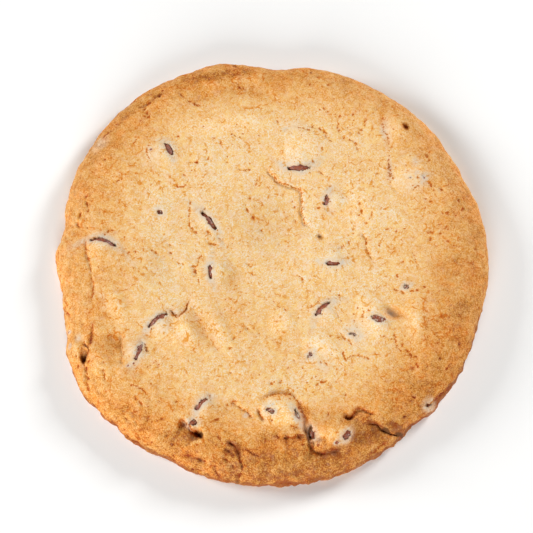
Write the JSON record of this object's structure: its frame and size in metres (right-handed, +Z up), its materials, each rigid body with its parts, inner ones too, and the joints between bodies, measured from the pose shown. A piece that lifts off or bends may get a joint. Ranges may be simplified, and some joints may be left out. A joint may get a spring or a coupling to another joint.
{
  "type": "chocolate chip cookie",
  "caption": "Large round soft-baked cookie, golden in the middle and browner at the rim, with dark chocolate drops that lie under the skin and show through slits",
  "frame": {"origin": "Middle of the base, on the table, under the middle of the cookie's box", "axes": "+Z up, -Y towards the viewer at the front, +X to the right as the picture shows it"},
  "size_m": [0.1106, 0.1127, 0.0114],
  "materials": {
    "baked_dough": "matt, grainy baked crust",
    "chocolate": "dull satin chocolate"
  },
  "bodies": {
    "root": {"dough": "baked_dough", "chip_01": "chocolate", "chip_02": "chocolate", "chip_03": "chocolate", "chip_04": "chocolate", "chip_05": "chocolate", "chip_06": "chocolate", "chip_07": "chocolate", "chip_08": "chocolate", "chip_09": "chocolate", "chip_10": "chocolate", "chip_11": "chocolate", "chip_12": "chocolate", "chip_13": "chocolate", "chip_14": "chocolate", "chip_15": "chocolate", "chip_16": "chocolate", "chip_17": "chocolate", "chip_18": "chocolate", "chip_19": "chocolate", "chip_20": "chocolate", "chip_21": "chocolate", "chip_22": "chocolate", "chip_23": "chocolate"}
  },
  "joints": []
}
